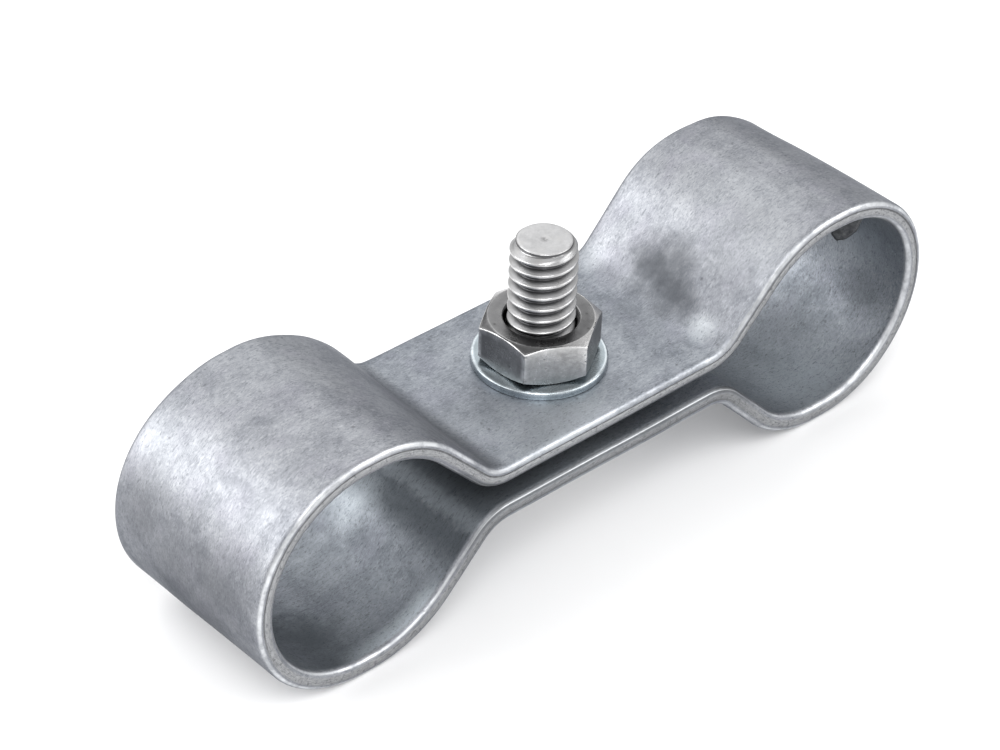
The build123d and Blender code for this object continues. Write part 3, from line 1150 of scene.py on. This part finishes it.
def nut_profile(rho, corner, low, high):
    """The nut's section where its side lies at rho, from the bore over the top and round to the
    bottom. corner is 1 on the rounding of a corner."""
    drop = (rho - FACE_RADIUS) * TURNED_SLOPE
    sunk = SINK_RADIUS - BORE_RADIUS
    top_edge, low_edge = (rho, high - drop), (rho, low + drop)
    top_face, low_face = (FACE_RADIUS, high), (FACE_RADIUS, low)
    top_sink, low_sink = (SINK_RADIUS, high), (SINK_RADIUS, low)
    top_bore, low_bore = (BORE_RADIUS, high - sunk), (BORE_RADIUS, low + sunk)

    def between(start, end, shares, edge, turned):
        (r0, z0), (r1, z1) = start, end
        return [(r0 * (1 - f) + r1 * f, z0 * (1 - f) + z1 * f, edge, turned) for f in shares]

    return [
        *soft_corner(top_bore, top_sink, top_face, 0.3, 0.0, 0.1),
        *between(top_sink, top_face, (0.5,), 0.0, 0.0),
        *soft_corner(top_sink, top_face, top_edge, 0.0, 1.0, 0.3),
        *between(top_face, top_edge, (0.35, 0.65), 0.0, 1.0),
        *soft_corner(top_face, top_edge, low_edge, 1.0, 0.0),
        *between(top_edge, low_edge, (0.2, 0.4, 0.6, 0.8), corner * 0.8, 0.0),
        *soft_corner(top_edge, low_edge, low_face, 0.0, 0.6),
        *between(low_edge, low_face, (0.35, 0.65), 0.0, 0.6),
        *soft_corner(low_edge, low_face, low_sink, 0.6, 0.0),
        *soft_corner(low_face, low_sink, low_bore, 0.0, 0.0),
        *((BORE_RADIUS, z, 0.0, 0.0) for z in (low + BORE_INSET, (low + high) / 2, high - BORE_INSET)),
    ]


class CLAMP_OT_nut(bpy.types.Operator):
    """Builds the hexagon nut with its turned corners and countersunk bore"""

    bl_idname = "clamp.nut"
    bl_label = "Hexagon Nut"

    def execute(self, context):
        nut = context.scene.fence_clamp.nut
        low, high = NUT_LOW.z / MM, NUT_HIGH.z / MM
        rings, edges, turned, faces = [], [], [], []
        for x, y, corner in hex_plan(nut.across_flats / MM, NUT_CORNER, nut.turn):
            rho = hypot(x, y)
            profile = nut_profile(rho, corner, low, high)
            rings.append([(x / rho * r * MM, y / rho * r * MM, z * MM) for r, z, _, _ in profile])
            edges.append([edge for _, _, edge, _ in profile])
            turned.append([mark for _, _, _, mark in profile])
            faces.append([1.0 if min(z - low, high - z) < 0.01 else 0.0 for _, z, _, _ in profile])
        mesh = ring_mesh("turned_hex_nut", rings, True, {"edge": edges, "turned": turned, "face": faces})
        finish_piece("turned_hex_nut", mesh, nut_material(nut), "hex_nut")
        return {"FINISHED"}


# ---------------------------------------------------------------- stage

CAMERA_PLACE = (-281.51, -288.35, 324.32)  # mm
CAMERA_AZIMUTH, CAMERA_ELEVATION, CAMERA_ROLL = -43.5256, 37.0157, 2.3518
CAMERA_LENS, CAMERA_SENSOR = 125.247, 36.0
CAMERA_CLIP = (0.01, 20)

# Place and target in m, width, height and power in W
SOFTBOXES = {
    "softbox_left": ((-0.66, 0.46, 0.47), (-0.02, 0, 0.02), 0.8, 0.75, 5.5),
    "softbox_back": ((0.22, 0.56, 0.66), (0, 0, 0.02), 0.9, 0.6, 1.5),
    "softbox_front": ((-0.33, -0.40, 0.74), (0, 0, 0.02), 0.4, 0.4, 2.8),
    "softbox_right": ((0.50, -0.60, 0.55), (0, 0, 0.02), 0.7, 0.5, 2.6),
}

FLOOR_HALF = 3.0
FLOOR_DROP = 0.05 * MM  # just under the loops, so that the two never lie in one plane
FLOOR_GLOW = (0.12, 0.12, 0.12)


def camera_matrix():
    """The camera's place and turn, from its azimuth, elevation and roll."""
    a, e, r = radians(CAMERA_AZIMUTH), radians(CAMERA_ELEVATION), radians(CAMERA_ROLL)
    back = Vector((sin(a) * cos(e), -cos(a) * cos(e), sin(e)))
    right = Vector((cos(a), sin(a), 0))
    up = back.cross(right)
    turned_right = right * cos(r) + up * sin(r)
    turned_up = up * cos(r) - right * sin(r)
    turn = Matrix((turned_right, turned_up, back)).transposed().to_4x4()
    return Matrix.Translation(Vector(CAMERA_PLACE) * MM) @ turn


def add_softbox(name, place, target, width, height, power):
    light = bpy.data.lights.new(name, "AREA")
    light.shape = "RECTANGLE"
    light.size, light.size_y = width, height
    light.energy = power
    lamp = bpy.data.objects.new(name, light)
    lamp.location = place
    lamp.rotation_mode = "QUATERNION"
    lamp.rotation_quaternion = (Vector(target) - Vector(place)).to_track_quat("-Z", "Y")
    bpy.context.scene.collection.objects.link(lamp)


def floor_material(settings):
    """Pale paper that shows shadows, and is seen through from below."""
    material = bpy.data.materials.new("pale_floor")
    material.use_nodes = True
    w = Wiring(material.node_tree)
    nodes = material.node_tree.nodes
    shader = nodes["Principled BSDF"]
    for label, term in (
        ("Base Color", settings.floor_color),
        ("Roughness", 0.9),
        ("Specular IOR Level", 0.1),
    ):
        w.fill(shader.inputs[label], term)
    glow = w.put("Emission", Color=FLOOR_GLOW, Strength=1.0).outputs[0]
    lit = w.put("AddShader", shader.outputs[0], glow).outputs[0]
    path = w.put("LightPath").outputs
    looked_at = w.most(path["Is Camera Ray"], path["Is Glossy Ray"], path["Is Transmission Ray"])
    seen = w.put("MixShader", looked_at, shader.outputs[0], lit).outputs[0]
    back = w.put("NewGeometry").outputs["Backfacing"]
    clear = w.put("BsdfTransparent").outputs[0]
    mix = w.put("MixShader", back, seen, clear).outputs[0]
    w.fill(nodes["Material Output"].inputs["Surface"], mix)
    return material


class CLAMP_OT_stage(bpy.types.Operator):
    """Builds the floor, the soft lights, the surroundings and the camera"""

    bl_idname = "clamp.stage"
    bl_label = "Studio"

    def execute(self, context):
        scene = context.scene
        settings = scene.fence_clamp.stage

        corners = ((-1, -1), (1, -1), (1, 1), (-1, 1))
        corners = [(x * FLOOR_HALF, y * FLOOR_HALF, -FLOOR_DROP) for x, y in corners]
        mesh = bpy.data.meshes.new("floor")
        mesh.from_pydata(corners, [], [(0, 1, 2, 3)])
        mesh.materials.append(floor_material(settings))
        floor = bpy.data.objects.new("floor", mesh)
        scene.collection.objects.link(floor)

        world = bpy.data.worlds.new("studio")
        world.use_nodes = True
        scene.world = world
        world.node_tree.nodes["Background"].inputs["Color"].default_value = (*(settings.fill,) * 3, 1)

        for name, values in SOFTBOXES.items():
            add_softbox(name, *values)

        camera = bpy.data.cameras.new("camera")
        camera.sensor_width = CAMERA_SENSOR
        camera.lens = CAMERA_LENS
        camera.clip_start, camera.clip_end = CAMERA_CLIP
        eye = bpy.data.objects.new("camera", camera)
        eye.matrix_world = camera_matrix()
        scene.collection.objects.link(eye)
        scene.camera = eye
        scene.view_settings.view_transform = "Standard"
        return {"FINISHED"}


# ---------------------------------------------------------------- add-on


class CLAMP_PT_sidebar(bpy.types.Panel):
    """Lists the clamp's pieces and their settings"""

    bl_idname = "CLAMP_PT_sidebar"
    bl_label = "Fence Clamp"
    bl_space_type = "VIEW_3D"
    bl_region_type = "UI"
    bl_category = "Fence Clamp"

    def draw(self, context):
        settings = context.scene.fence_clamp
        for group, operators in (
            (settings.band, ("clamp.band", "clamp.zinc_run")),
            (settings.bolt, ("clamp.bolt",)),
            (settings.washer, ("clamp.washer",)),
            (settings.nut, ("clamp.nut",)),
            (settings.stage, ("clamp.stage",)),
        ):
            box = self.layout.box()
            for name in group.__annotations__:
                box.prop(group, name)
            for operator in operators:
                box.operator(operator)


CLASSES = (
    BandSettings,
    BoltSettings,
    WasherSettings,
    NutSettings,
    StageSettings,
    ClampSettings,
    CLAMP_OT_band,
    CLAMP_OT_zinc_run,
    CLAMP_OT_bolt,
    CLAMP_OT_washer,
    CLAMP_OT_nut,
    CLAMP_OT_stage,
    CLAMP_PT_sidebar,
)


def register():
    for each in CLASSES:
        bpy.utils.register_class(each)
    bpy.types.Scene.fence_clamp = bpy.props.PointerProperty(type=ClampSettings)


def unregister():
    del bpy.types.Scene.fence_clamp
    for each in reversed(CLASSES):
        bpy.utils.unregister_class(each)


def main():
    """Builds every piece in order."""
    register()
    bpy.ops.clamp.band()
    bpy.ops.clamp.zinc_run()
    bpy.ops.clamp.bolt()
    bpy.ops.clamp.washer()
    bpy.ops.clamp.nut()
    bpy.ops.clamp.stage()


if __name__ == "__main__":
    main()
